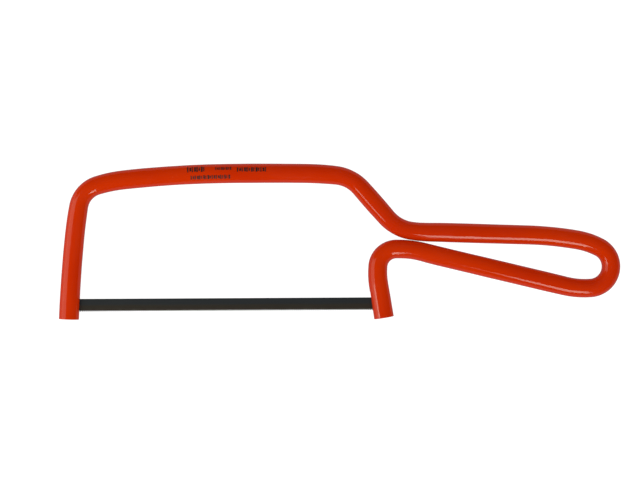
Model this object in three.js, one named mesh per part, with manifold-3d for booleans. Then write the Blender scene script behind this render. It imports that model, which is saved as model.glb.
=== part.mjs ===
// Insulated junior hacksaw: one spring-steel rod bent into a bow, a looped handle and two blade legs,
// covered from end to end by two layers of PVC insulation, with a pin-ended blade held in tension.
//
// Millimetres. The saw lies on its side: +X runs along the blade towards the handle, +Y from the blade
// up to the back of the bow, +Z through the thickness. The model is built with the blade's pins on Y = 0
// and the front leg's axis near X = 0. The last lines move the origin to the middle of the footprint, on
// the surface that the saw lies on.

import * as THREE from 'three';
import { mergeVertices } from 'three/addons/utils/BufferGeometryUtils.js';
import Module from 'manifold-3d';

const wasm = await Module();
wasm.setup();

const degrees = THREE.MathUtils.degToRad;

// ---------------------------------------------------------------- driving dimensions

const ROD_DIAMETER = 6;
const INNER_LAYER = { bore: 6.1, outside: 7.2 };
const OUTER_LAYER = { bore: 7.3, outside: 9 };
const MID_PLANE = OUTER_LAYER.outside / 2;

const BLADE_LENGTH = 150;
const BLADE_HEIGHT = 6;
const BLADE_BACK = 2.75; // above the pins
const BLADE_THICKNESS = 0.65;
const BLADE_CENTRE_X = 72.4;
const BLADE_CORNER = 0.8;
const TOOTH_PITCH = 1;
const TOOTH_DEPTH = 0.5;
const TOOTH_FACE = 0.1;
const PLAIN_END = 5;

const PIN_DIAMETER = 1.4;
const PIN_LENGTH = 4;
const PIN_INSET = 1.2;
const PIN_HOLE = 1.5;

// How far the insulation runs past each end of the rod, and how far the inner layer stops short.
const END_HOOD = 1.5;
const INNER_LAYER_STOP = 15;

// The blade's slots. The front one is taller, because that leg dips as the bow is squeezed.
const ROD_SLOT_WIDTH = 0.95;
const SLEEVE_SLOT_WIDTH = 1.1;
const SQUEEZE_DIP = 1;
const SLOT_CLEARANCE = 0.15;
const SEAT_CLEARANCE = 0.05;
const FRONT_SLIT_ABOVE_BLADE = 1.4;
const REAR_SLIT_ABOVE_BLADE = 3;
const PARED_DEPTH = 0.15;
const PARED_RUN = 11;

// The bow is cut in two here, in the middle of its top bar, for the squeeze joint.
const SQUEEZE_AT = 120;
const SQUEEZE_GAP = 0.3;

// How finely the rod and its layers are faceted.
const OUTSIDE_FACETS = 16;
const INSIDE_FACETS = 12;
const PIN_FACETS = 12;
const LONGEST_STEP = 15;
const LARGEST_TURN = degrees(10);

// ---------------------------------------------------------------- the bent rod

// The bending schedule, from the end of the front leg, over the bow and round the handle loop to the
// end of the rear leg. A positive turn bends the rod to its left.
const ROD_START = { x: -0.42, y: -6.68, heading: degrees(87.5) };
const bend = (radius, turn) => ({
  length: radius * Math.abs(degrees(turn)),
  curvature: Math.sign(turn) / radius,
});
const straight = (length) => ({ length, curvature: 0 });
const SCHEDULE = [
  bend(633, -3.5), // front leg, slightly bowed
  bend(200, -4),
  bend(12.5, -63), // nose
  bend(65, -11),
  bend(500, -5.5), // crowned top bar
  bend(1400, -1.5),
  bend(150, -5.5),
  bend(18, -42.5), // shoulder
  straight(18), // slope down to the handle
  bend(18, 40),
  bend(90, 7),
  straight(44), // upper grip bar
  bend(165, -8.05),
  bend(35, -17.55),
  bend(10.05, -148.5), // end of the handle loop
  bend(40, -17.55),
  straight(66.5), // lower grip bar
  bend(65, 12.05),
  bend(8.5, 86.2), // knee above the rear leg
  bend(35, 14.4),
  straight(15.55), // rear leg
];

/** The place and heading reached after going a distance along one piece of the schedule. */
function advance(from, curvature, distance) {
  const { x, y, heading } = from;
  if (curvature === 0) {
    return {
      x: x + distance * Math.cos(heading),
      y: y + distance * Math.sin(heading),
      heading,
    };
  }
  const turned = heading + curvature * distance;
  return {
    x: x + (Math.sin(turned) - Math.sin(heading)) / curvature,
    y: y - (Math.cos(turned) - Math.cos(heading)) / curvature,
    heading: turned,
  };
}

// Each piece of the schedule with its start, and the share of rings that it needs.
const pieces = [];
let reached = ROD_START;
let travelled = 0;
for (const { length, curvature } of SCHEDULE) {
  const rings = length * (1 / LONGEST_STEP + Math.abs(curvature) / LARGEST_TURN);
  pieces.push({ start: reached, at: travelled, length, curvature, rings });
  reached = advance(reached, curvature, length);
  travelled += length;
}
const ROD_LENGTH = travelled;

/** The rod's place and heading at a distance from the end of the front leg. */
function stationAt(distance) {
  const piece = pieces.findLast((p) => p.at <= distance) ?? pieces[0];
  return advance(piece.start, piece.curvature, distance - piece.at);
}

/** The rod's centre line between two distances, with its rings closer together where it bends. */
class RodPath extends THREE.Curve {
  constructor(from, to) {
    super();
    this.spans = pieces
      .map((p) => {
        const start = Math.max(p.at, from);
        const length = Math.min(p.at + p.length, to) - start;
        return { start, length, rings: (p.rings * length) / p.length };
      })
      .filter((span) => span.length > 0);
    this.rings = this.spans.reduce((sum, span) => sum + span.rings, 0);
  }

  get steps() {
    return Math.ceil(this.rings);
  }

  station(t) {
    let left = t * this.rings;
    for (const span of this.spans) {
      if (left <= span.rings) {
        return stationAt(span.start + (span.length * left) / span.rings);
      }
      left -= span.rings;
    }
    const last = this.spans.at(-1);
    return stationAt(last.start + last.length);
  }

  getPoint(t, target = new THREE.Vector3()) {
    const { x, y } = this.station(t);
    return target.set(x, y, MID_PLANE);
  }

  getTangent(t, target = new THREE.Vector3()) {
    const { heading } = this.station(t);
    return target.set(Math.cos(heading), Math.sin(heading), 0);
  }

  // Equal steps follow the rings, and not the length.
  getUtoTmapping(u) {
    return u;
  }
}

/** A regular polygon whose flats stand at the radius, with one flat towards each axis. */
function roundSection(diameter, facets) {
  const corner = diameter / 2 / Math.cos(Math.PI / facets);
  return Array.from({ length: facets }, (_, i) => {
    const angle = ((i + 0.5) / facets) * 2 * Math.PI;
    return new THREE.Vector2(corner * Math.cos(angle), corner * Math.sin(angle));
  });
}

/** A solid bar, or a tube with a bore, along the rod's centre line. */
function sweep({ outside, facets, bore }, from, to) {
  const section = new THREE.Shape(roundSection(outside, facets));
  if (bore) {
    section.holes.push(new THREE.Path(roundSection(bore, INSIDE_FACETS)));
  }
  const path = new RodPath(from, to);
  return new THREE.ExtrudeGeometry(section, { extrudePath: path, steps: path.steps });
}

// ---------------------------------------------------------------- joining and cutting

/** A closed geometry as a solid that can be cut. */
function solid(geometry) {
  const bare = geometry.index ? geometry.toNonIndexed() : geometry.clone();
  bare.deleteAttribute('normal');
  bare.deleteAttribute('uv');
  const merged = mergeVertices(bare, 1e-4);
  return new wasm.Manifold(
    new wasm.Mesh({
      numProp: 3,
      vertProperties: merged.attributes.position.array,
      triVerts: new Uint32Array(merged.index.array),
    }),
  );
}

/** A cut solid as a geometry again. */
function geometryOf(cut) {
  const { vertProperties, triVerts } = cut.getMesh();
  const geometry = new THREE.BufferGeometry();
  geometry.setAttribute('position', new THREE.BufferAttribute(vertProperties, 3));
  geometry.setIndex(new THREE.BufferAttribute(triVerts, 1));
  geometry.computeVertexNormals();
  return geometry;
}

/** A box between two X values and two Y values, centred on the rod's plane. */
function cutter(x0, x1, y0, y1, thickness) {
  const box = new THREE.BoxGeometry(Math.abs(x1 - x0), y1 - y0, thickness);
  return box.translate((x0 + x1) / 2, (y0 + y1) / 2, MID_PLANE);
}

const cutFrom = (geometry, cutters) =>
  geometryOf(cutters.reduce((body, box) => body.subtract(solid(box)), solid(geometry)));

// ---------------------------------------------------------------- the blade legs

// Both legs are cut alike, mirrored: outward is -1 on the front leg and +1 on the rear leg.
const BELOW_LEGS = -20;
const BEYOND_LEG = 20;
const pinOffset = BLADE_LENGTH / 2 - PIN_INSET;
const LEGS = {
  front: { outward: -1, dip: SQUEEZE_DIP, slit: FRONT_SLIT_ABOVE_BLADE },
  rear: { outward: 1, dip: 0, slit: REAR_SLIT_ABOVE_BLADE },
};

const pinX = ({ outward }) => BLADE_CENTRE_X + outward * pinOffset;

/** The slot through the rod's end, and the flat on its outer side that the pin bears on. */
function rodCuts(leg) {
  const x = pinX(leg);
  const slotTop = BLADE_BACK + leg.dip + SLOT_CLEARANCE;
  const seat = x - leg.outward * (PIN_DIAMETER / 2 + SEAT_CLEARANCE);
  const shoulder = PIN_DIAMETER / 2 + leg.dip + SLOT_CLEARANCE;
  return [
    cutter(x - BEYOND_LEG, x + BEYOND_LEG, BELOW_LEGS, slotTop, ROD_SLOT_WIDTH),
    cutter(seat, seat + leg.outward * BEYOND_LEG, BELOW_LEGS, shoulder, 2 * ROD_DIAMETER),
  ];
}

/** The slit that lets the blade through the inner side of the insulation. */
function slitCut(leg) {
  const x = pinX(leg);
  const top = BLADE_BACK + leg.slit;
  return cutter(x, x - leg.outward * BEYOND_LEG, BELOW_LEGS, top, SLEEVE_SLOT_WIDTH);
}

/** The shallow flat pared along the rear leg's inner side: it starts at its slit's top and runs out. */
function paredCut() {
  const { x, y, heading } = stationAt(ROD_LENGTH);
  const top = y - BLADE_BACK - REAR_SLIT_ABOVE_BLADE;
  const box = new THREE.BoxGeometry(BEYOND_LEG, BEYOND_LEG, BEYOND_LEG);
  box.translate(BEYOND_LEG / 2, -BEYOND_LEG / 2, 0);
  box.rotateZ(-Math.atan2(PARED_DEPTH, PARED_RUN));
  box.translate(top, PARED_DEPTH - OUTER_LAYER.outside / 2, 0);
  box.rotateZ(heading);
  return box.translate(x, y, MID_PLANE);
}

// ---------------------------------------------------------------- the blade

/** The blade's outline: a straight back, plain ends, and teeth that point to the front. */
function bladeOutline() {
  const end = BLADE_LENGTH / 2;
  const tips = BLADE_BACK - BLADE_HEIGHT;
  const root = tips + TOOTH_DEPTH;
  const toothed = end - PLAIN_END;
  const outline = new THREE.Shape();
  outline.moveTo(-end, root + BLADE_CORNER);
  outline.lineTo(-end + BLADE_CORNER, root);
  for (let x = -toothed; x < toothed - TOOTH_PITCH / 2; x += TOOTH_PITCH) {
    outline.lineTo(x, root);
    outline.lineTo(x + TOOTH_FACE, tips);
  }
  outline.lineTo(toothed, root);
  outline.lineTo(end - BLADE_CORNER, root);
  outline.lineTo(end, root + BLADE_CORNER);
  outline.lineTo(end, BLADE_BACK - BLADE_CORNER);
  outline.lineTo(end - BLADE_CORNER, BLADE_BACK);
  outline.lineTo(-end + BLADE_CORNER, BLADE_BACK);
  outline.lineTo(-end, BLADE_BACK - BLADE_CORNER);
  outline.closePath();
  return outline;
}

function bladeStrip() {
  const outline = bladeOutline();
  for (const side of [-1, 1]) {
    const hole = roundSection(PIN_HOLE, PIN_FACETS).map((p) => p.setX(p.x + side * pinOffset));
    outline.holes.push(new THREE.Path(hole));
  }
  const strip = new THREE.ExtrudeGeometry(outline, { depth: BLADE_THICKNESS, bevelEnabled: false });
  return strip.translate(BLADE_CENTRE_X, 0, MID_PLANE - BLADE_THICKNESS / 2);
}

function bladePin(leg) {
  const section = new THREE.Shape(roundSection(PIN_DIAMETER, PIN_FACETS));
  const pin = new THREE.ExtrudeGeometry(section, { depth: PIN_LENGTH, bevelEnabled: false });
  return pin.translate(pinX(leg), 0, MID_PLANE - PIN_LENGTH / 2);
}

// ---------------------------------------------------------------- materials

const finish = (color, roughness, metalness) =>
  new THREE.MeshStandardMaterial({ color, roughness, metalness });
const springSteel = finish(0x8d9094, 0.4, 1);
const signalLayer = finish(0xe8b81e, 0.6, 0);
const orangePvc = finish(0xc72a02, 0.3, 0);
const bluedSteel = finish(0x2b2a2b, 0.45, 0.6);
const pinSteel = finish(0x7d8084, 0.35, 1);

// ---------------------------------------------------------------- assembly

const saw = new THREE.Group();

function add(name, geometry, material) {
  const mesh = new THREE.Mesh(geometry, material);
  mesh.name = name;
  saw.add(mesh);
}

// Each half of the bow, as the distances between which its insulation runs.
const HALVES = {
  front: { from: 0, to: SQUEEZE_AT - SQUEEZE_GAP / 2 },
  rear: { from: SQUEEZE_AT + SQUEEZE_GAP / 2, to: ROD_LENGTH },
};
const rodSection = { outside: ROD_DIAMETER, facets: INSIDE_FACETS };
const innerSection = { ...INNER_LAYER, facets: INSIDE_FACETS };
const outerSection = { ...OUTER_LAYER, facets: OUTSIDE_FACETS };

/** A layer of one half, stopping short of the end of its leg by a distance. */
function layer(half, section, short) {
  const { from, to } = HALVES[half];
  return half === 'front' ? sweep(section, from + short, to) : sweep(section, from, to - short);
}

for (const [half, leg] of Object.entries(LEGS)) {
  const rod = layer(half, rodSection, END_HOOD);
  const pared = half === 'rear' ? [paredCut()] : [];
  add(`frame_rod_${half}`, cutFrom(rod, rodCuts(leg)), springSteel);
  add(`inner_insulation_${half}`, layer(half, innerSection, INNER_LAYER_STOP), signalLayer);
  add(
    `outer_insulation_${half}`,
    cutFrom(layer(half, outerSection, 0), [slitCut(leg), ...pared]),
    orangePvc,
  );
  add(`blade_pin_${half}`, bladePin(leg), pinSteel);
}
add('blade', bladeStrip(), bluedSteel);

// The origin goes to the middle of the footprint, on the surface that the saw lies on.
const footprint = new THREE.Box3().setFromObject(saw);
const middle = footprint.getCenter(new THREE.Vector3());
saw.position.set(-middle.x, -middle.y, -footprint.min.z);

export default saw;
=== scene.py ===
# %% [markdown]
# # An insulated junior hacksaw
# The whole frame of this saw is one steel rod. It is bent into a bow, a looped handle and two legs, and
# it is covered from end to end in insulation, so that it can be used near live wires. A short blade with
# a pin through each end is sprung between the legs, and nothing but the rod's own spring holds it tight.
#
# The engineering model gives the main sizes and every moving body. This lesson builds the surfaces that
# people see round that model, and it never moves a part of it.

# %% Load the frame
import math

import bpy
import numpy as np
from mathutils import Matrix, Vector


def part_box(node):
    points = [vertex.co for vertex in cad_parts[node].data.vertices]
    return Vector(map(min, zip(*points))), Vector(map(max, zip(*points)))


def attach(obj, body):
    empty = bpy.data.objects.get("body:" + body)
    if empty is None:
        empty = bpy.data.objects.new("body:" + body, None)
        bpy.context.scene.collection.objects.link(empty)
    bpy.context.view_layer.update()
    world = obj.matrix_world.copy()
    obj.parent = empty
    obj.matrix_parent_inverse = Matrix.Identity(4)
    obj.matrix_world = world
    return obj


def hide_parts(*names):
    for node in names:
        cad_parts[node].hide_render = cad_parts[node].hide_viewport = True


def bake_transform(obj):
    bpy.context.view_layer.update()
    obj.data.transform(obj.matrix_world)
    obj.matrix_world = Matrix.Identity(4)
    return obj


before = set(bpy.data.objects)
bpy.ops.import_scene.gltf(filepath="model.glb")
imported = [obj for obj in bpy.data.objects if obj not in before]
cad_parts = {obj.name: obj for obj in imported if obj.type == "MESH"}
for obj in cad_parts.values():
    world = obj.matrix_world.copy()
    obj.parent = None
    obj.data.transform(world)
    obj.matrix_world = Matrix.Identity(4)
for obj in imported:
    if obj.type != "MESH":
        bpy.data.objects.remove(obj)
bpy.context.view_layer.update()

# %% [markdown]
# ## Sizes
# Everything here is in metres. The diameters of the rod and its layers, the blade and the pins are read
# from the engineering model, so that a change there is followed here. The bending schedule is repeated
# from it, and what the model can't tell, such as how deep an edge is rounded, is written as a number.

# %% Read the sizes
MM = 0.001


def middle(node):
    low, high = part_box(node)
    return (low + high) / 2


def size(node):
    low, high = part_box(node)
    return high - low


blade_middle = middle("blade")
blade_size = size("blade")
pin_size = size("blade_pin_front")
mid_plane = middle("outer_insulation_rear").z
sleeve_radius = size("outer_insulation_rear").z / 2
layer_radius = size("inner_insulation_rear").z / 2
rod_radius = size("frame_rod_rear").z / 2
print(f"rod {2000 * rod_radius:.1f} mm, inner layer {2000 * layer_radius:.1f} mm")
print(f"outer sleeve {2000 * sleeve_radius:.1f} mm, blade {1000 * blade_size.x:.1f} mm long")

# %% [markdown]
# ## The bent rod
# A maker bends the rod from a bending schedule: so far straight, then a bend of such a radius through
# such an angle. The same schedule gives the line that the rod, both layers and the printed marks follow.
# A curve object with handles could follow that line too, but a schedule keeps true arcs and gives the
# distance along the rod at every point, which the materials need.

# %% The bending schedule
def bend(radius, turn):
    """An arc: a radius in millimetres and a turn in degrees, positive to the rod's left."""
    return radius * MM * abs(math.radians(turn)), math.copysign(1 / (radius * MM), turn)


def straight(length):
    return length * MM, 0.0


SCHEDULE = [
    bend(633, -3.5), bend(200, -4),  # front leg, slightly bowed
    bend(12.5, -63),  # nose
    bend(65, -11), bend(500, -5.5), bend(1400, -1.5), bend(150, -5.5),  # crowned top bar
    bend(18, -42.5), straight(18), bend(18, 40),  # shoulder and slope
    bend(90, 7), straight(44), bend(165, -8.05),  # upper grip bar
    bend(35, -17.55), bend(10.05, -148.5), bend(40, -17.55),  # end of the handle loop
    straight(66.5), bend(65, 12.05),  # lower grip bar
    bend(8.5, 86.2), bend(35, 14.4), straight(15.55),  # knee and rear leg
]
START = Vector((blade_middle.x - 72.82 * MM, blade_middle.y - 6.43 * MM))
START_HEADING = math.radians(87.5)
lengths, curvatures = (np.array(column) for column in zip(*SCHEDULE))
piece_starts = np.concatenate([[0], np.cumsum(lengths)])
rod_length = piece_starts[-1]
headings = START_HEADING + np.concatenate([[0], np.cumsum(lengths * curvatures)])
print(f"{len(SCHEDULE)} steps, {1000 * rod_length:.1f} mm of sleeve")


# %% Find a place on the rod
def moved(heading, curvature, distance):
    """How far an arc or a straight length goes in X and in Y."""
    bent = np.abs(curvature) > 1e-9
    k = np.where(bent, curvature, 1.0)
    end = heading + curvature * distance
    dx = np.where(bent, (np.sin(end) - np.sin(heading)) / k, distance * np.cos(heading))
    dy = np.where(bent, (np.cos(heading) - np.cos(end)) / k, distance * np.sin(heading))
    return dx, dy


steps_x, steps_y = moved(headings[:-1], curvatures, lengths)
starts_x = START.x + np.concatenate([[0], np.cumsum(steps_x)])
starts_y = START.y + np.concatenate([[0], np.cumsum(steps_y)])


def rod_at(distance):
    """Centre points and headings of the rod at distances from the tip of the front leg."""
    distance = np.asarray(distance, float)
    piece = np.clip(np.searchsorted(piece_starts, distance, "right") - 1, 0, len(SCHEDULE) - 1)
    along = distance - piece_starts[piece]
    dx, dy = moved(headings[piece], curvatures[piece], along)
    centre = np.stack(
        [starts_x[piece] + dx, starts_y[piece] + dy, np.full(distance.shape, mid_plane)], -1
    )
    return centre, headings[piece] + curvatures[piece] * along


def curvature_at(distance):
    piece = np.clip(np.searchsorted(piece_starts, distance, "right") - 1, 0, len(SCHEDULE) - 1)
    return curvatures[piece]


def placed(distance, inward, up):
    """Points beside the rod: inward is to the rod's right, which is the throat's side on both legs."""
    centre, heading = rod_at(distance)
    right = np.stack([np.sin(heading), -np.cos(heading), np.zeros_like(heading)], -1)
    return centre + right * np.asarray(inward)[..., None] + np.array([0, 0, 1]) * np.asarray(up)[..., None]


tail, _ = rod_at(rod_length)
print("the rod ends at", [round(1000 * float(v), 2) for v in tail], "mm")

# %% [markdown]
# ## Rings
# A swept surface needs more rings where the rod is bent than where it is straight. Too few show as flats
# on the knee, and too many everywhere only make a heavy mesh. So the spacing follows the bend radius:
# every ring turns the rod by at most a few degrees.

# %% Space the rings
LONGEST_GAP = 2.5 * MM
MOST_TURN = math.radians(4)


def ring_places(start, end, extra=()):
    """Distances for the rings of a surface, closer together in bends, with the extra ones added."""
    marks = sorted({start, end, *[p for p in piece_starts if start < p < end], *extra})
    places = [start]
    for a, b in zip(marks, marks[1:]):
        k = abs(float(curvature_at((a + b) / 2)))
        gap = min(LONGEST_GAP, MOST_TURN / k) if k else LONGEST_GAP
        places.extend(np.linspace(a, b, max(1, math.ceil((b - a) / gap)) + 1)[1:])
    return np.array(places)


print(len(ring_places(0, rod_length)), "rings on the whole sleeve")

# %% [markdown]
# ## From grids of points to a closed piece
# The two layers are tubes with a wall, and the outer one is slit at both ends. A boolean cut would leave
# long thin faces that shade badly on a glossy round surface. Instead the outside and the bore are two
# grids of points, the cells of the slit are left out, and a wall closes every edge that this leaves.

# %% Build a walled tube
def mesh_piece(name, points, faces):
    mesh = bpy.data.meshes.new(name)
    mesh.from_pydata([tuple(p) for p in points], [], faces)
    mesh.validate()
    piece = bpy.data.objects.new(name, mesh)
    bpy.context.scene.collection.objects.link(piece)
    return piece


def walls_of(kept, rings, sides, vertex):
    """The faces that join the outside to the bore round every missing cell."""
    faces = []
    for i in range(rings - 1):
        for j in range(sides):
            if not kept[i, j]:
                continue
            n = (j + 1) % sides
            if i == 0 or not kept[i - 1, j]:
                faces.append([vertex(0, i, j), vertex(0, i, n), vertex(1, i, n), vertex(1, i, j)])
            if i == rings - 2 or not kept[i + 1, j]:
                m = i + 1
                faces.append([vertex(0, m, n), vertex(0, m, j), vertex(1, m, j), vertex(1, m, n)])
            if not kept[i, j - 1]:
                m = i + 1
                faces.append([vertex(0, m, j), vertex(0, i, j), vertex(1, i, j), vertex(1, m, j)])
            if not kept[i, n]:
                m = i + 1
                faces.append([vertex(0, i, n), vertex(0, m, n), vertex(1, m, n), vertex(1, i, n)])
    return faces


def walled_tube(name, outside, bore, kept):
    """A closed tube from two grids of points, [ring, side, xyz], without the cells that aren't kept."""
    rings, sides = outside.shape[:2]

    def vertex(layer, i, j):
        return (layer * rings + i) * sides + j

    cells = [(i, j) for i in range(rings - 1) for j in range(sides) if kept[i, j]]
    skin, lining = [], []
    for i, j in cells:
        m, n = i + 1, (j + 1) % sides
        skin.append([vertex(0, i, j), vertex(0, m, j), vertex(0, m, n), vertex(0, i, n)])
        lining.append([vertex(1, i, n), vertex(1, m, n), vertex(1, m, j), vertex(1, i, j)])
    cuts = walls_of(kept, rings, sides, vertex)
    points = np.concatenate([outside.reshape(-1, 3), bore.reshape(-1, 3)])
    piece = mesh_piece(name, points, skin + lining + cuts)
    material = [0] * len(skin) + [1] * (len(lining) + len(cuts))
    piece.data.polygons.foreach_set("material_index", material)
    print(name, len(piece.data.polygons), "faces,", len(cuts), "of them cut walls")
    return piece


# %% [markdown]
# ## Edges
# A cut edge on a real piece is never perfectly sharp. A bevel of a tenth of a millimetre catches a thin
# line of light, which is what makes a cut look cut. The shading is smooth across everything flatter than
# the chosen angle, and hard across the rest.

# %% Soften the edges
def soften(piece, width, angle=50, segments=2):
    piece.data.polygons.foreach_set("use_smooth", [True] * len(piece.data.polygons))
    piece.data.set_sharp_from_angle(angle=math.radians(angle))
    edge = piece.modifiers.new("rounded edges", "BEVEL")
    edge.width = width
    edge.segments = segments
    edge.limit_method = "ANGLE"
    edge.angle_limit = math.radians(angle)
    edge.harden_normals = True


def straightened(piece, distance, inward, up):
    """Stores where each point would be if the rod were straight: the materials follow the rod by it."""
    values = np.stack(np.broadcast_arrays(distance, inward, up), -1).reshape(-1, 3)
    attribute = piece.data.attributes.new("straightened", "FLOAT_VECTOR", "POINT")
    attribute.data.foreach_set("vector", values.astype(np.float32).ravel())


# %% [markdown]
# ## The outer sleeve
# The orange sleeve is soft PVC, pushed or dipped over the rod before it is bent. Bending stretches it,
# so it is a few per cent narrower across each tight bend. Its surface also wanders by a few hundredths
# of a millimetre, and those slow waves are what bends the reflections of a lamp on real PVC.
# Where the handle begins, the two bars all but touch. The soft sleeves are pressed towards each other
# there, and only a thin line is left between them.
# At the legs the inner side is slit, so that the blade can be put in from below. The rear leg's inner
# side is also pared flat: deepest at the top of its slit, and running out towards the tip.

# %% The sleeve's outline
SLEEVE_WALL = 0.85 * MM
BEND_NARROWING = 0.05
BEND_REACH = 5 * MM
LEG_SWELL = 0.03
LEG_REACH = 55 * MM
NECK_PLACES = (224 * MM, 422 * MM)
NECK_REACH = 7 * MM
NECK_SWELL = 0.14 * MM
NECK_SINK = 0.4 * MM
SLIT_HALF_WIDTH = 0.55 * MM
PARED_DEPTH = 0.28 * MM
PARED_STEP = 0.35 * MM
END_RING = 0.5 * MM
# How far above the blade's back each slit reaches, and how finely a leg is searched for that place.
SLIT_RISE = {"front": 1.4 * MM, "rear": 3.0 * MM}
LEG_SEARCH = {"front": 30 * MM, "rear": -18 * MM}
SEARCH_STEPS = 601


def bentness(distance):
    """From 0 on a straight length to 1 in a tight bend, easing in and out over a few millimetres."""
    offsets = np.linspace(-BEND_REACH, BEND_REACH, 11)
    nearby = np.clip(distance[..., None] + offsets, 0, rod_length)
    return np.clip(np.abs(curvature_at(nearby)) * 20 * MM, 0, 1).mean(-1)


def slow_waves(distance, angle):
    """The sleeve's own unevenness, a few hundredths of a millimetre."""
    turn = 2 * math.pi * distance
    bulges = np.sin(turn / (61 * MM) + 0.7) + 0.6 * np.sin(turn / (27 * MM) + 2.0 * np.sin(angle))
    dents = 0.45 * np.sin(turn / (11.3 * MM) + 3 * np.cos(angle)) * np.sin(turn / (83 * MM))
    return 0.018 * MM * (bulges + dents)


def leg_swell(distance):
    """The sleeve is a little fuller at both legs."""
    from_end = np.minimum(distance, rod_length - distance)
    return LEG_SWELL * np.clip(1 - from_end / LEG_REACH, 0, 1) ** 0.5


def neck_shape(distance, angle):
    """Where the two bars come together, the sleeve is fuller on its inward side and sunk on the other."""
    near = sum(np.exp(-(((distance - place) / NECK_REACH) ** 2)) for place in NECK_PLACES)
    inward, outward = np.clip(np.cos(angle), 0, 1), np.clip(-np.cos(angle), 0, 1)
    return near * (NECK_SWELL * inward**3 - NECK_SINK * outward**2)


def skin(distance, angle):
    """The sleeve's radius at distances along it and angles round it, where 0 is the inward side."""
    widening = (leg_swell(distance) - BEND_NARROWING * bentness(distance)) * np.cos(angle) ** 2
    return sleeve_radius * (1 + widening) + slow_waves(distance, angle) + neck_shape(distance, angle)


def leg_place(height, leg):
    """The distance at which a leg's axis is a given height above the middle of the blade."""
    tip = 0.0 if leg == "front" else rod_length
    places = np.linspace(tip, tip + LEG_SEARCH[leg], SEARCH_STEPS)
    heights = rod_at(places)[0][:, 1] - blade_middle.y
    return float(np.interp(height, heights, places))


slit_top = {leg: leg_place(blade_size.y / 2 + rise, leg) for leg, rise in SLIT_RISE.items()}
print("slits end", {leg: round(1000 * place, 2) for leg, place in slit_top.items()}, "mm along")


# %% Build the outer sleeve
def side_angles(count, radius):
    """Angles round the tube, with two of them at the edges of the slit, which faces angle 0."""
    edge = math.asin(SLIT_HALF_WIDTH / radius)
    return np.linspace(edge, 2 * math.pi - edge, count)


def sleeve_grids(sides=60):
    pared_start = slit_top["rear"] - PARED_STEP
    extra = [slit_top["front"], slit_top["rear"], pared_start, END_RING, rod_length - END_RING]
    places = ring_places(0, rod_length, extra)
    angles = side_angles(sides, sleeve_radius)
    s, a = np.meshgrid(places, angles, indexing="ij")
    inward, up = skin(s, a) * np.cos(a), skin(s, a) * np.sin(a)
    pared = np.clip((s - pared_start) / PARED_STEP, 0, 1)
    runs_out = np.clip((rod_length - s) / (rod_length - slit_top["rear"]), 0, 1)
    flat = sleeve_radius * (1 + LEG_SWELL) - PARED_DEPTH * runs_out
    inward = np.where(inward > flat, inward + (flat - inward) * pared, inward)
    bore_angles = side_angles(sides, sleeve_radius - SLEEVE_WALL)
    b = np.broadcast_to(bore_angles, s.shape)
    bore_in, bore_up = (sleeve_radius - SLEEVE_WALL) * np.cos(b), (sleeve_radius - SLEEVE_WALL) * np.sin(b)
    return places, (s, inward, up), (s, bore_in, bore_up)


def outer_sleeve():
    places, outside, bore = sleeve_grids()
    kept = np.ones((len(places) - 1, outside[0].shape[1]), bool)
    between = (places[:-1] + places[1:]) / 2
    slit = (between < slit_top["front"]) | (between > slit_top["rear"])
    kept[slit, -1] = False  # the cell between the last angle and the first is the slit
    sleeve = walled_tube("outer_sleeve", placed(*outside), placed(*bore), kept)
    both = [np.concatenate([o.ravel(), b.ravel()]) for o, b in zip(outside, bore)]
    straightened(sleeve, *both)
    return sleeve


sleeve = outer_sleeve()
soften(sleeve, 0.12 * MM)

# %% [markdown]
# ## The inner layer
# Insulated tools carry a second layer in a loud colour under the outer one. When it shows through a cut
# or a worn place, the tool is thrown away. Here it is yellow, and it is hidden all the way along.

# %% Build the inner layer
LAYER_WALL = 0.55 * MM
LAYER_STOP = 15 * MM


def plain_tube(name, radius, wall, start, end, sides=36):
    places = ring_places(start, end)
    s, a = np.meshgrid(places, np.linspace(0, 2 * math.pi, sides, endpoint=False), indexing="ij")
    outside = (s, radius * np.cos(a), radius * np.sin(a))
    bore = (s, (radius - wall) * np.cos(a), (radius - wall) * np.sin(a))
    kept = np.ones((len(places) - 1, sides), bool)
    tube = walled_tube(name, placed(*outside), placed(*bore), kept)
    straightened(tube, *[np.concatenate([o.ravel(), b.ravel()]) for o, b in zip(outside, bore)])
    return tube


layer = plain_tube("inner_layer", layer_radius, LAYER_WALL, LAYER_STOP, rod_length - LAYER_STOP)
soften(layer, 0.06 * MM)

# %% [markdown]
# ## The steel rod
# The rod is a solid bar with a saw cut across each end for the blade, and a flat milled on the outer side
# for the pin to bear on. These are real machined cuts with sharp inside corners, seen only from below,
# so a boolean is the right tool here: the cut faces are flat, and nothing glossy runs over them.

# %% Build the rod
HOOD = 1.5 * MM
SLOT_WIDTH = 0.95 * MM
SLOT_CLEARANCE = 0.15 * MM
SEAT_CLEARANCE = 0.05 * MM
SQUEEZE_DIP = 1.0 * MM
FAR = 20 * MM


def solid_bar(name, radius, start, end, sides=40):
    places = ring_places(start, end)
    s, a = np.meshgrid(places, np.linspace(0, 2 * math.pi, sides, endpoint=False), indexing="ij")
    inward, up = radius * np.cos(a), radius * np.sin(a)
    faces = [list(range(sides))]
    last = (len(places) - 1) * sides
    for i in range(len(places) - 1):
        for j in range(sides):
            n = (j + 1) % sides
            faces.append([i * sides + j, (i + 1) * sides + j, (i + 1) * sides + n, i * sides + n])
    faces.append([last + j for j in range(sides)][::-1])
    bar = mesh_piece(name, placed(s, inward, up).reshape(-1, 3), faces)
    straightened(bar, s.ravel(), inward.ravel(), up.ravel())
    return bar


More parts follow.
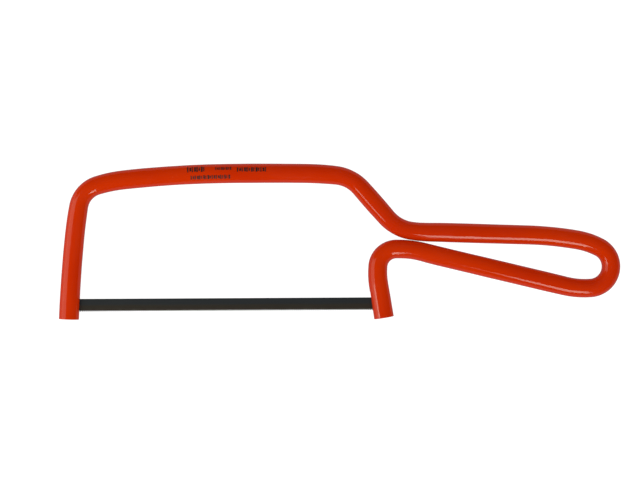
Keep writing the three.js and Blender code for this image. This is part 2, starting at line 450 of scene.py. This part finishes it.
def block(low, high):
    """A box between two corners, to cut with."""
    corners = [(x, y, z) for x in (low[0], high[0]) for y in (low[1], high[1]) for z in (low[2], high[2])]
    faces = [(0, 1, 3, 2), (4, 6, 7, 5), (0, 4, 5, 1), (2, 3, 7, 6), (0, 2, 6, 4), (1, 5, 7, 3)]
    return mesh_piece("cutter", corners, faces)


def cut(piece, cutters):
    """Takes the cutters out of a piece, and removes them."""
    for cutter in cutters:
        taken = piece.modifiers.new("cut", "BOOLEAN")
        taken.operation = "DIFFERENCE"
        taken.solver = "EXACT"
        taken.object = cutter
    depsgraph = bpy.context.evaluated_depsgraph_get()
    finished = bpy.data.meshes.new_from_object(piece.evaluated_get(depsgraph), depsgraph=depsgraph)
    piece.modifiers.clear()
    piece.data = finished
    for cutter in cutters:
        bpy.data.objects.remove(cutter)


def leg_cutters(pin, outward, dip):
    """The blade's slot and the pin's seat in one leg."""
    across = middle(pin)
    low, high = blade_middle.y - FAR, blade_middle.y + blade_size.y / 2 + dip + SLOT_CLEARANCE
    half = SLOT_WIDTH / 2
    slot = block((across.x - FAR, low, mid_plane - half), (across.x + FAR, high, mid_plane + half))
    seat = across.x - outward * (pin_size.y / 2 + SEAT_CLEARANCE)
    shoulder = across.y + pin_size.y / 2 + dip + SLOT_CLEARANCE
    ends = sorted((seat, seat + outward * FAR))
    flat = block((ends[0], low, mid_plane - FAR), (ends[1], shoulder, mid_plane + FAR))
    return [slot, flat]


rod = solid_bar("frame_rod", rod_radius, HOOD, rod_length - HOOD)
cut(rod, leg_cutters("blade_pin_front", -1, SQUEEZE_DIP) + leg_cutters("blade_pin_rear", 1, 0.0))
soften(rod, 0.08 * MM, angle=40)
print("rod has", len(rod.data.polygons), "faces after its cuts")

# %% [markdown]
# ## The blade
# The blade is rolled strip with fine teeth, one to the millimetre. Its teeth are set in a gentle wave to
# either side, so that the cut is wider than the strip and the blade doesn't bind. Each tooth has a
# flat-bottomed gullet, a steep face towards the front, a narrow flat tip and a sloping back. Its gullet is
# a little deeper than the engineering model's. The strip is one grid: its rows run along the blade, and
# between the cut corners only the lowest row goes up and down with the teeth.

# %% Build the blade
TOOTH_PITCH = 1.0 * MM
TOOTH_DEPTH = 0.65 * MM
PLAIN_END = 5 * MM
SET_WAVE = 8 * MM
SET_AMOUNT = 0.17 * MM
SET_START = 1.1 * MM
CORNER = 0.8 * MM
# One tooth: how far along the pitch, and how much of the depth, for each point of its outline.
TOOTH = [(0.0, 0.10), (0.08, 0.0), (0.16, 0.0), (0.26, 1.0), (0.40, 1.0), (0.70, 0.62)]


def blade_columns():
    """How far along the blade each column of points stands, and how deep its tooth is there."""
    half, tooth_half = blade_size.x / 2, blade_size.x / 2 - PLAIN_END
    teeth = round(2 * tooth_half / TOOTH_PITCH)
    plain = np.linspace(half, tooth_half, 8)[:-1]
    columns = [(-x, 0.0) for x in plain]
    for tooth in range(teeth):
        start = -tooth_half + tooth * TOOTH_PITCH
        columns += [(start + along * TOOTH_PITCH, depth) for along, depth in TOOTH]
    columns.append((tooth_half, 0.0))
    columns += [(x, 0.0) for x in plain[::-1]]
    return np.array(columns)


def blade_rows(columns):
    """The heights of the rows in each column, from the back to the teeth."""
    x, depth = columns[:, 0], columns[:, 1]
    half, root = blade_size.y / 2, -blade_size.y / 2 + TOOTH_DEPTH
    corner = np.clip(CORNER - (blade_size.x / 2 - np.abs(x)), 0, None)
    back = half - corner
    edge = root + corner - depth * TOOTH_DEPTH
    middle_row = np.zeros_like(x)
    set_row = np.maximum(root + SET_START - TOOTH_DEPTH, edge + 0.1 * MM)
    root_row = np.maximum(root + 0.25 * MM, edge + 0.05 * MM)
    return np.stack([back, back - 0.12 * MM, back - 0.9 * MM, middle_row, set_row, root_row, edge], -1)


def blade_strip():
    columns = blade_columns()
    y = blade_rows(columns)
    x = np.broadcast_to(columns[:, :1], y.shape)
    toothed = np.clip((blade_size.x / 2 - PLAIN_END - np.abs(x)) / SET_WAVE, 0, 1)
    lean = np.clip((-blade_size.y / 2 + SET_START - y) / SET_START, 0, 1)
    wave = SET_AMOUNT * np.sin(2 * math.pi * x / SET_WAVE) * lean * toothed
    count, rows = y.shape
    sides = []
    for side in (1, -1):
        z = side * blade_size.z / 2 + wave
        sides.append(np.stack([x, y, z], -1).reshape(-1, 3) + np.array(blade_middle))

    def vertex(side, i, k):
        return side * count * rows + i * rows + k

    faces = []
    for i in range(count - 1):
        m = i + 1
        for k in range(rows - 1):
            n = k + 1
            faces.append([vertex(0, i, k), vertex(0, i, n), vertex(0, m, n), vertex(0, m, k)])
            faces.append([vertex(1, i, k), vertex(1, m, k), vertex(1, m, n), vertex(1, i, n)])
        last = rows - 1
        faces.append([vertex(0, i, 0), vertex(0, m, 0), vertex(1, m, 0), vertex(1, i, 0)])
        faces.append([vertex(0, i, last), vertex(1, i, last), vertex(1, m, last), vertex(0, m, last)])
    end = count - 1
    for k in range(rows - 1):
        n = k + 1
        faces.append([vertex(0, 0, k), vertex(1, 0, k), vertex(1, 0, n), vertex(0, 0, n)])
        faces.append([vertex(0, end, k), vertex(0, end, n), vertex(1, end, n), vertex(1, end, k)])
    return mesh_piece("saw_blade", np.concatenate(sides), faces)


blade = blade_strip()
print("blade has", round((blade_size.x - 2 * PLAIN_END) / TOOTH_PITCH), "teeth")

# %% [markdown]
# ## The pins
# A pin is a short length of hard wire pressed through the end of the blade, with its ends broken by a
# small chamfer. It is a turned shape, so its outline is swept round its axis.

# %% Build the pins and their holes
PIN_CHAMFER = 0.15 * MM
HOLE_CLEARANCE = 0.03 * MM


def turned(name, centre, outline, sides=32):
    """A solid of revolution along Z from (height, radius) pairs, closed by a cap at both ends."""
    points, faces = [], []
    for height, radius in outline:
        for j in range(sides):
            angle = 2 * math.pi * j / sides
            offset = Vector((radius * math.cos(angle), radius * math.sin(angle), height))
            points.append(Vector(centre) + offset)
    for i in range(len(outline) - 1):
        for j in range(sides):
            n = (j + 1) % sides
            faces.append([i * sides + j, i * sides + n, (i + 1) * sides + n, (i + 1) * sides + j])
    last = (len(outline) - 1) * sides
    faces.append(list(range(sides))[::-1])
    faces.append([last + j for j in range(sides)])
    return mesh_piece(name, points, faces)


def pin_outline(length, radius):
    half = length / 2
    return [
        (-half, radius - PIN_CHAMFER),
        (-half + PIN_CHAMFER, radius),
        (half - PIN_CHAMFER, radius),
        (half, radius - PIN_CHAMFER),
    ]


pins, holes = [], []
for place in ("front", "rear"):
    centre = middle(f"blade_pin_{place}")
    pins.append(turned(f"{place}_pin", centre, pin_outline(pin_size.z, pin_size.y / 2)))
    hole_radius = pin_size.y / 2 + HOLE_CLEARANCE
    holes.append(turned("hole", centre, [(-blade_size.z, hole_radius), (blade_size.z, hole_radius)]))
cut(blade, holes)
soften(blade, 0.05 * MM, angle=40, segments=1)
for pin in pins:
    soften(pin, 0.03 * MM, angle=30)
print("blade has", len(blade.data.polygons), "faces with its pin holes")

# %% [markdown]
# ## The printed marks
# Tools like this carry a line or two of print on the top bar. Here it is a plain batch pattern of short
# upright bars that spells nothing. Each bar is a thin film of ink, curved to lie on the sleeve, so it is
# real geometry and stays sharp at any distance.

# %% Build the ink bars
INK_LIFT = 0.012 * MM
INK_THICKNESS = 0.02 * MM
# Each run of bars: where it starts and ends along the sleeve, how high up its side, the bars' height.
INK_RUNS = [
    (109 * MM, 117.5 * MM, -2.35 * MM, 2.9 * MM, 8),
    (122 * MM, 129.5 * MM, -2.35 * MM, 1.6 * MM, 9),
    (132 * MM, 146.0 * MM, -1.75 * MM, 2.3 * MM, 13),
    (110.5 * MM, 129 * MM, 1.7 * MM, 2.0 * MM, 19),
]
BAR_SHARE = [0.5, 0.72, 0.45, 0.8, 0.6]
BAR_HEIGHTS = [1.0, 0.72, 1.0, 0.86]


def ink_bar(start, end, low, high, cells=5):
    """One bar: the top and under grids of points of a curved film with a little thickness."""
    s, across = np.meshgrid(np.linspace(start, end, 3), np.linspace(low, high, cells + 1), indexing="ij")
    layers = []
    for lift in (INK_LIFT + INK_THICKNESS, INK_LIFT):
        angle = math.pi / 2 - across / sleeve_radius
        radius = skin(s, angle) + lift
        layers.append((s, radius * np.cos(angle), radius * np.sin(angle)))
    return layers


def ink_marks():
    points, faces, where = [], [], []
    for start, end, across, height, count in INK_RUNS:
        pitch = (end - start) / count
        for bar in range(count):
            left = start + bar * pitch
            right = left + pitch * BAR_SHARE[bar % len(BAR_SHARE)]
            half = height / 2 * BAR_HEIGHTS[bar % len(BAR_HEIGHTS)]
            top, under = ink_bar(left, right, across - half, across + half)
            rows, columns = top[0].shape
            base = sum(len(p) for p in points)
            for layer_points in (top, under):
                points.append(placed(*layer_points).reshape(-1, 3))
                where.append(np.stack(layer_points, -1).reshape(-1, 3))
            faces += film_faces(base, rows, columns)
    piece = mesh_piece("printed_marks", np.concatenate(points), faces)
    straightened(piece, *np.concatenate(where).T)
    return piece


def film_faces(base, rows, columns):
    """Faces of one closed film: a top grid, an under grid and the rim between them."""
    def vertex(layer_index, i, j):
        return base + layer_index * rows * columns + i * columns + j

    faces = []
    for i in range(rows - 1):
        for j in range(columns - 1):
            m, n = i + 1, j + 1
            faces.append([vertex(0, i, j), vertex(0, i, n), vertex(0, m, n), vertex(0, m, j)])
            faces.append([vertex(1, i, j), vertex(1, m, j), vertex(1, m, n), vertex(1, i, n)])
    rim = [(0, j) for j in range(columns)] + [(i, columns - 1) for i in range(1, rows)]
    rim += [(rows - 1, j) for j in range(columns - 2, -1, -1)] + [(i, 0) for i in range(rows - 2, 0, -1)]
    for (i, j), (m, n) in zip(rim, rim[1:] + rim[:1]):
        faces.append([vertex(0, m, n), vertex(0, i, j), vertex(1, i, j), vertex(1, m, n)])
    return faces


marks = ink_marks()
print("marks have", len(marks.data.polygons), "faces")

# %% [markdown]
# ## Materials as sums
# A material is a recipe of numbers that change over the surface. Wiring a node for every plus sign hides
# the idea, so a small class wraps one socket and lets Python's operators add the Math nodes. Everything
# that isn't plain arithmetic comes from one method that names the node, its settings and its inputs.

# %% A socket that can do arithmetic
class Wire:
    """One output socket. Arithmetic on it adds Math nodes to its recipe."""

    def __init__(self, recipe, socket):
        self.recipe = recipe
        self.socket = socket

    def _math(self, operation, *values):
        return self.recipe.node("ShaderNodeMath", {"operation": operation}, dict(enumerate(values)))

    def __add__(self, other):
        return self._math("ADD", self, other)

    def __sub__(self, other):
        return self._math("SUBTRACT", self, other)

    def __mul__(self, other):
        return self._math("MULTIPLY", self, other)

    def __truediv__(self, other):
        return self._math("DIVIDE", self, other)

    def __abs__(self):
        return self._math("ABSOLUTE", self)

    __radd__ = __add__
    __rmul__ = __mul__

    def ramp(self, low, high):
        """0 below low, 1 above high and smooth between: low may be the larger of the two."""
        settings = {"interpolation_type": "SMOOTHSTEP"}
        inputs = {"Value": self, "From Min": low, "From Max": high}
        return self.recipe.node("ShaderNodeMapRange", settings, inputs)


# %% A recipe that makes nodes
def find_socket(sockets, key):
    if isinstance(key, int):
        return sockets[key]
    return next(s for s in sockets if key in (s.identifier, s.name) and s.enabled)


class Recipe:
    """A material under construction, with the few textures that this saw needs."""

    def __init__(self, name):
        self.material = bpy.data.materials.new(name)
        self.material.use_nodes = True
        self.tree = self.material.node_tree
        self.tree.nodes.clear()

    def node(self, kind, settings=None, inputs=None, output=0):
        made = self.tree.nodes.new(kind)
        for key, value in (settings or {}).items():
            setattr(made, key, value)
        for key, value in (inputs or {}).items():
            socket = find_socket(made.inputs, key)
            if isinstance(value, Wire):
                self.tree.links.new(value.socket, socket)
            else:
                socket.default_value = value
        return Wire(self, find_socket(made.outputs, output)) if made.outputs else None

    def rod_place(self):
        """Where a point would be if the rod were straight, in metres."""
        settings = {"attribute_name": "straightened"}
        return self.node("ShaderNodeAttribute", settings, output="Vector")

    def place(self):
        return self.node("ShaderNodeTexCoord", output="Object")

    def scaled(self, where, factors):
        return self.node("ShaderNodeVectorMath", {"operation": "MULTIPLY"}, {0: where, 1: factors})

    def parts(self, where):
        return [self.node("ShaderNodeSeparateXYZ", inputs={0: where}, output=k) for k in range(3)]

    def noise(self, where, grain, detail=2.0, roughness=0.5):
        """Noise from 0 to 1, whose grain is a length in metres along each axis."""
        place = self.scaled(where, tuple(1 / g for g in grain))
        inputs = {"Vector": place, "Scale": 1.0, "Detail": detail, "Roughness": roughness}
        return self.node("ShaderNodeTexNoise", inputs=inputs, output="Fac")

    def mix(self, factor, a, b):
        inputs = {"Factor_Float": factor, "A_Color": a, "B_Color": b}
        settings = {"data_type": "RGBA"}
        return self.node("ShaderNodeMix", settings, inputs, output="Result_Color")

    def bump(self, height):
        """A surface normal from a height in millimetres."""
        inputs = {"Height": height, "Distance": MM, "Strength": 1.0}
        return self.node("ShaderNodeBump", inputs=inputs, output="Normal")

    def surface(self, **inputs):
        named = {key.replace("_", " ").title(): value for key, value in inputs.items()}
        if "Ior" in named:
            named["IOR"] = named.pop("Ior")
        shader = self.node("ShaderNodeBsdfPrincipled", inputs=named)
        self.node("ShaderNodeOutputMaterial", inputs={"Surface": shader})
        return self.material


def colour(red, green, blue):
    return (red, green, blue, 1.0)


# %% [markdown]
# ## Glossy orange PVC
# Soft PVC comes out of its die with faint lines along its length, and its skin has a very fine orange
# peel. Hands leave it a little duller in places, and benches leave hair scratches. The colour itself
# drifts slightly, because the pigment isn't perfectly mixed.

# %% The sleeve's finish
def hair_scratches(m, where, grain, keep):
    """Thin broken lines, 1 on a scratch and 0 elsewhere."""
    drift = m.noise(where, grain, detail=1.0)
    line = abs(drift - 0.5).ramp(0.006, 0.0)
    broken = m.noise(where, (5 * MM, 3 * MM, 3 * MM), detail=1.0).ramp(keep, keep + 0.05)
    return line * broken


def orange_pvc():
    m = Recipe("orange_pvc")
    where = m.rod_place()
    cloud = m.noise(where, (34 * MM, 9 * MM, 9 * MM), detail=3.0)
    speck = m.noise(where, (0.7 * MM, 0.5 * MM, 0.5 * MM), detail=1.0)
    die_lines = m.noise(where, (60 * MM, 0.45 * MM, 0.45 * MM), detail=2.0)
    peel = m.noise(where, (1.3 * MM, 1.1 * MM, 1.1 * MM), detail=2.0)
    dents = m.noise(where, (9 * MM, 4 * MM, 4 * MM), detail=1.0)
    handled = m.noise(where, (18 * MM, 7 * MM, 7 * MM), detail=4.0, roughness=0.6).ramp(0.42, 0.68)
    scratched = hair_scratches(m, where, (7 * MM, 1.6 * MM, 1.6 * MM), 0.60)
    deep, bright = colour(0.600, 0.0235, 0.0), colour(0.640, 0.030, 0.0)
    body = m.mix(cloud.ramp(0.3, 0.7), deep, bright)
    body = m.mix(speck.ramp(0.64, 0.78) * 0.06, body, colour(0.70, 0.07, 0.02))
    body = m.mix(scratched * 0.2, body, colour(0.72, 0.14, 0.07))
    roughness = 0.075 + 0.035 * handled + 0.02 * die_lines + 0.10 * scratched
    height = 0.005 * die_lines + 0.0025 * peel + 0.007 * dents - 0.005 * scratched
    return m.surface(base_color=body, roughness=roughness, normal=m.bump(height), ior=1.53)


# %% [markdown]
# ## Cut PVC
# Where a knife or a saw has cut the sleeve it is dull, slightly paler, and dragged into fine steps across
# the cut. The bore has the same dull look, because it was never polished by a die.

# %% The finish of cut edges
def cut_pvc():
    m = Recipe("cut_pvc")
    where = m.place()
    drag = m.noise(where, (1.2 * MM, 0.12 * MM, 0.9 * MM), detail=3.0)
    crumb = m.noise(where, (0.25 * MM, 0.25 * MM, 0.25 * MM), detail=2.0)
    body = m.mix(drag, colour(0.47, 0.020, 0.001), colour(0.62, 0.060, 0.012))
    height = 0.03 * drag + 0.012 * crumb
    return m.surface(base_color=body, roughness=0.55 + 0.2 * crumb, normal=m.bump(height))


# %% [markdown]
# ## The yellow warning layer
# The inner layer is matt and plain. It only has to be seen when something is wrong.

# %% The inner layer's finish
def warning_yellow():
    m = Recipe("warning_yellow")
    where = m.rod_place()
    chalk = m.noise(where, (0.5 * MM, 0.4 * MM, 0.4 * MM), detail=3.0)
    streak = m.noise(where, (25 * MM, 0.8 * MM, 0.8 * MM), detail=2.0)
    body = m.mix(streak, colour(0.70, 0.40, 0.010), colour(0.82, 0.50, 0.022))
    height = 0.012 * chalk + 0.01 * streak
    return m.surface(base_color=body, roughness=0.52 + 0.15 * chalk, normal=m.bump(height))


# %% [markdown]
# ## Blued blade steel
# The strip is hardened and tempered, which leaves a blue-black oxide. Its lower half is painted
# brown-black and its upper half blue-black, a painted reflection that runs across the strip's height.
# Rolling leaves fine lines along the strip, and the colour is paler towards the teeth and along the back
# edge.

# %% The blade's finish
def blued_blade():
    m = Recipe("blued_blade")
    where = m.place()
    _, y, z = m.parts(where)
    height_up = (y - blade_middle.y) / (blade_size.y / 2)
    rolled = m.noise(where, (14 * MM, 0.09 * MM, 0.09 * MM), detail=3.0)
    patch = m.noise(where, (11 * MM, 2.2 * MM, 2.2 * MM), detail=3.0)
    pits = m.noise(where, (0.22 * MM, 0.18 * MM, 0.2 * MM), detail=2.0).ramp(0.66, 0.74)
    # Painted reflection: the strip is painted brown-black towards the teeth and blue-black towards the
    # back.
    painted_reflection = (height_up + 0.25 * (patch - 0.5)).ramp(-0.2, 0.25)
    body = m.mix(painted_reflection, colour(0.052, 0.037, 0.024), colour(0.032, 0.035, 0.041))
    body = m.mix(rolled * 0.35, body, colour(0.066, 0.066, 0.068))
    # The colour is paler in a band towards the teeth and in a thin band along the back edge.
    pale_near_teeth = (height_up + 0.06 * (rolled - 0.5)).ramp(-0.80, -0.90)
    back = height_up.ramp(0.955, 0.985)
    bright = (pale_near_teeth * 0.3 + back * 0.35).ramp(0.0, 1.0)
    body = m.mix(bright, body, colour(0.11, 0.11, 0.112))
    body = m.mix(pits * 0.5, body, colour(0.012, 0.011, 0.010))
    roughness = 0.40 + 0.16 * patch + 0.12 * pits - 0.08 * pale_near_teeth
    relief = 0.005 * rolled - 0.010 * pits
    return m.surface(base_color=body, metallic=0.45, roughness=roughness, normal=m.bump(relief))


# %% [markdown]
# ## Bare steels
# The rod is drawn through a die, so its lines run along it. The pins are cut wire, bright all over with
# lines round them. One recipe serves both, because only the direction and the fineness change.

# %% The rod's and the pins' finish
def drawn_steel(name, where_from, grain, tone):
    m = Recipe(name)
    where = m.rod_place() if where_from == "rod" else m.place()
    lines = m.noise(where, grain, detail=3.0)
    stain = m.noise(where, (3 * MM, 2 * MM, 2 * MM), detail=4.0, roughness=0.65).ramp(0.52, 0.72)
    clean = m.mix(lines, colour(*[0.75 * t for t in tone]), colour(*tone))
    body = m.mix(stain * 0.45, clean, colour(0.16, 0.10, 0.06))
    roughness = 0.26 + 0.14 * lines + 0.25 * stain
    relief = 0.006 * lines - 0.004 * stain
    return m.surface(base_color=body, metallic=1.0, roughness=roughness, normal=m.bump(relief))


# %% [markdown]
# ## Ink
# Stamped ink is thin, so the orange shows through where the pad didn't press. It dries a little duller
# than the PVC under it.

# %% The ink's finish
def stamped_ink():
    m = Recipe("stamped_ink")
    where = m.rod_place()
    thin = m.noise(where, (0.5 * MM, 0.35 * MM, 0.35 * MM), detail=3.0).ramp(0.50, 0.72)
    body = m.mix(thin * 0.55, colour(0.020, 0.012, 0.010), colour(0.42, 0.02, 0.002))
    relief = 0.006 * thin
    return m.surface(base_color=body, roughness=0.38 + 0.15 * thin, normal=m.bump(relief))


# %% Give every piece its finish
def dress(piece, *materials):
    piece.data.materials.clear()
    for material in materials:
        piece.data.materials.append(material)


pvc, pvc_cut = orange_pvc(), cut_pvc()
yellow = warning_yellow()
dress(sleeve, pvc, pvc_cut)
dress(layer, yellow, yellow)
dress(rod, drawn_steel("drawn_rod_steel", "rod", (25 * MM, 0.15 * MM, 0.15 * MM), (0.56, 0.56, 0.57)))
dress(blade, blued_blade())
pin_steel = drawn_steel("pin_wire_steel", "place", (0.12 * MM, 0.12 * MM, 4 * MM), (0.62, 0.62, 0.63))
for pin in pins:
    dress(pin, pin_steel)
dress(marks, stamped_ink())
print("materials:", [m.name for m in bpy.data.materials if m.users])

# %% [markdown]
# ## What moves with what
# The engineering model cuts the bow in two in the middle of its top bar, because its joint needs a place
# to turn. The real rod is one piece that bends all along. Here the rod, both layers and the ink are each
# one unbroken mesh, fixed where it stands and tied to neither half, and the model's own halves of the rod
# and layers are hidden. The blade and its pins are rigid, and drop out together.

# %% Fix the bow's pieces in place, and tie the blade and its pins to their body
BAR_STEPS = (4, 6)  # the steps of the schedule at whose starts the bow's bending begins and ends
bend_start, bend_end = (Vector(rod_at(piece_starts[step])[0]) for step in BAR_STEPS)
springy = {
    sleeve: ("outer_insulation", "insulation_outer"),
    layer: ("inner_insulation", "insulation_inner"),
    rod: ("frame_rod", "frame_steel"),
}
for piece, (node, slot) in springy.items():
    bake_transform(piece)
    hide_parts(f"{node}_front", f"{node}_rear")
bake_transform(marks)
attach(blade, "blade")
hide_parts("blade")
for pin, node in zip(pins, ("blade_pin_front", "blade_pin_rear")):
    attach(pin, "blade")
    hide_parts(node)
print("the bow bends between x", round(bend_start.x, 4), "and x", round(bend_end.x, 4))

# %% [markdown]
# ## The studio
# The saw lies on its side on a white table. One soft lamp stands on the blade's side and three at the
# front of the saw, so that the round bars show soft streaks and a darker far side. A fifth lamp fills
# from the blade's side and is kept out of the reflections. The lamps are tinted slightly green. The table
# glows, as a light table does, so that it stays white and takes almost no shadow. It is kept out of the
# reflections, and the fainter board below takes its place there.

# %% The table
FLOOR_HALF = 3.0
FLOOR_DROP = 0.15 * MM
TABLE_GLOW = 1.05
BLACK, WHITE = colour(0.0, 0.0, 0.0), colour(1.0, 1.0, 1.0)


def light_table():
    m = Recipe("light_table")
    paper = m.noise(m.place(), (4 * MM, 4 * MM, 4 * MM), detail=2.0)
    tone = m.mix(paper, colour(0.10, 0.10, 0.10), colour(0.12, 0.12, 0.12))
    return m.surface(
        base_color=tone, roughness=0.9, emission_color=WHITE, emission_strength=TABLE_GLOW
    )


corners = [(x * FLOOR_HALF, y * FLOOR_HALF, -FLOOR_DROP) for x, y in ((-1, -1), (1, -1), (1, 1), (-1, 1))]
floor = mesh_piece("table", corners, [[0, 1, 2, 3]])
dress(floor, light_table())
floor.visible_glossy = False
floor.visible_diffuse = False

# %% [markdown]
# ## The sheen of the table
# The edges of each round bar mirror the table at a low angle. A faint board under the saw, seen by
# reflections only, gives them that pale line without the full glare of the table.

# %% The board
BOARD_GLOW = 0.25


def glowing(name, strength):
    """A surface that only gives out light."""
    material = Recipe(name).surface(
        base_color=BLACK, roughness=1.0, emission_color=WHITE, emission_strength=strength
    )
    material.cycles.emission_sampling = "NONE"
    return material


board = mesh_piece("board", [(x, y, z - 2 * FLOOR_DROP) for x, y, z in corners], [[0, 1, 2, 3]])
dress(board, glowing("faint_board", BOARD_GLOW))
board.visible_camera = False
board.visible_diffuse = False
board.visible_shadow = False

# %% [markdown]
# ## The tent
# A white tent all round gives the soft light. It is kept out of the reflections: the gloss then shows the
# lamps and the faint board, and the orange keeps its full depth. That holds for a sharp gloss only. A
# rough one would still see the tent as a pale veil, which is one reason why the PVC's finish is sharp.

# %% The tent
TENT_HALF = 4.0
TENT_GLOW = 0.66

tent = block((-TENT_HALF, -TENT_HALF, -TENT_HALF), (TENT_HALF, TENT_HALF, TENT_HALF))
tent.name = "tent"
dress(tent, glowing("tent_cloth", TENT_GLOW))
tent.visible_glossy = False

# %% The lamps
LAMP_TINT = (0.88, 1.0, 0.86)


def softbox(name, azimuth, elevation, distance, width, height, glow):
    """A soft lamp aimed at the saw, with a glow in W/m2 per steradian. Azimuth 0 stands on the +X side."""
    lamp = bpy.data.lights.new(name, "AREA")
    lamp.shape = "RECTANGLE"
    lamp.size, lamp.size_y = width, height
    lamp.energy = glow * math.pi * width * height
    lamp.color = LAMP_TINT
    piece = bpy.data.objects.new(name, lamp)
    a, e = math.radians(azimuth), math.radians(elevation)
    away = Vector((math.cos(a) * math.cos(e), math.sin(a) * math.cos(e), math.sin(e)))
    piece.location = away * distance
    piece.rotation_euler = (-away).to_track_quat("-Z", "Y").to_euler()
    bpy.context.scene.collection.objects.link(piece)
    return piece


softbox("streak_lamp", azimuth=-77, elevation=36, distance=0.7, width=0.20, height=0.30, glow=4.2)
softbox("slope_lamp", azimuth=208, elevation=38, distance=0.7, width=0.34, height=0.18, glow=3.0)
softbox("nose_side_lamp", azimuth=184, elevation=30, distance=0.6, width=0.5, height=0.4, glow=0.95)
softbox("low_lamp", azimuth=181, elevation=6, distance=0.5, width=0.5, height=0.12, glow=0.8)
side_fill = softbox("side_fill", azimuth=-92, elevation=15, distance=1.0, width=0.9, height=0.4, glow=1.0)
side_fill.visible_glossy = False

world = bpy.data.worlds.new("dark")
world.use_nodes = True
world.node_tree.nodes["Background"].inputs["Strength"].default_value = 0.0
bpy.context.scene.world = world
bpy.context.scene.view_settings.view_transform = "Standard"
bpy.context.scene.view_settings.look = "None"

# %% [markdown]
# ## The camera
# The camera hangs over the table and looks straight down, turned by a third of a degree. A long lens from
# well above keeps the two legs the same size.

# %% The camera
CAMERA_LENS = 100.0
CAMERA_HEIGHT = 0.8267
CAMERA_AIM = Vector((-9.13 * MM, 0.65 * MM))
CAMERA_ROLL = math.radians(-0.31)
camera_data = bpy.data.cameras.new("camera")
camera_data.lens = CAMERA_LENS
camera = bpy.data.objects.new("camera", camera_data)
camera.location = (CAMERA_AIM.x, CAMERA_AIM.y, mid_plane + CAMERA_HEIGHT)
camera.rotation_euler = (0.0, 0.0, CAMERA_ROLL)
bpy.context.scene.collection.objects.link(camera)
bpy.context.scene.camera = camera
